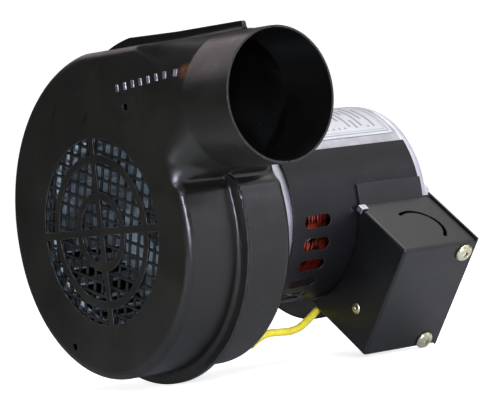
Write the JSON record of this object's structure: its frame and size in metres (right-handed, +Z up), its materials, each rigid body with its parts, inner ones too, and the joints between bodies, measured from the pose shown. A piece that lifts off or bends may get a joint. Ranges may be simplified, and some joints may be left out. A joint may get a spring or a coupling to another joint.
{
  "type": "combustion fan",
  "caption": "Centrifugal combustion fan: pressed black volute with round side outlet and meshed inlet grille, shell motor behind it and a junction box on the motor.",
  "frame": {"origin": "centre of the round inlet opening, where the grille spokes cross, on the outer face of the inlet side", "axes": "+X along the shaft towards the motor, +Z up, outlet blows towards -Y; the shaft axis is X itself, through the origin"},
  "size_m": [0.2091, 0.2224, 0.2031],
  "materials": {
    "black_paint": "satin black enamel on deep-drawn steel sheet",
    "black_mesh": "black painted wire mesh",
    "black_wrap": "satin black enamel on rolled sheet",
    "black_box": "satin black enamel on folded sheet",
    "galvanised": "galvanised steel",
    "steel": "bright machined steel",
    "zinc_shell": "zinc-plated rolled shell",
    "zinc_plate": "bright zinc plate",
    "yellow_zinc": "pale yellow zinc plate",
    "cast_alloy": "die-cast, fine blasted surface",
    "bronze": "sintered bronze",
    "lamination": "varnished steel laminations",
    "red_enamel": "red enamelled copper wire, laced",
    "label_film": null,
    "rubber": "moulded rubber",
    "black_lead": "insulated lead",
    "white_lead": "insulated lead",
    "yellow_lead": "insulated lead",
    "tinned_copper": "tinned copper"
  },
  "bodies": {
    "fan_body": {"bearing_bush_front": "bronze", "bearing_bush_rear": "bronze", "box_base": "black_box", "box_clip": "zinc_plate", "box_cover": "black_box", "cover_screw_lower": "yellow_zinc", "cover_screw_upper": "yellow_zinc", "drive_end_shield": "cast_alloy", "ground_lead": "yellow_lead", "ground_screw": "zinc_plate", "ground_terminal": "tinned_copper", "housing_front": "black_paint", "housing_rear": "black_paint", "inlet_screen": "black_mesh", "lead_black": "black_lead", "lead_grommet": "rubber", "lead_white": "white_lead", "motor_shell": "zinc_shell", "motor_wrap": "black_wrap", "mount_screw_1": "zinc_plate", "mount_screw_2": "zinc_plate", "mount_screw_3": "zinc_plate", "mount_screw_4": "zinc_plate", "rating_label": "label_film", "rear_end_shield": "cast_alloy", "side_screw": "yellow_zinc", "stator_core": "lamination", "through_bolt_1": "zinc_plate", "through_bolt_2": "zinc_plate", "through_bolt_3": "zinc_plate", "through_bolt_4": "zinc_plate", "winding_front": "red_enamel", "winding_rear": "red_enamel"},
    "rotor": {"impeller_front_ring": "galvanised", "impeller_blades": "galvanised", "impeller_backplate": "galvanised", "impeller_hub": "steel", "hub_set_screw": "steel", "motor_shaft": "steel", "rotor_core": "lamination", "rotor_end_ring_front": "cast_alloy", "rotor_end_ring_rear": "cast_alloy", "thrust_washer_front": "bronze", "thrust_washer_rear": "bronze"}
  },
  "joints": [
    {"name": "rotor_spin", "type": "hinge", "parent": "fan_body", "child": "rotor", "pos_m": [0, 0, 0], "axis": [1, 0, 0], "continuous": true}
  ]
}
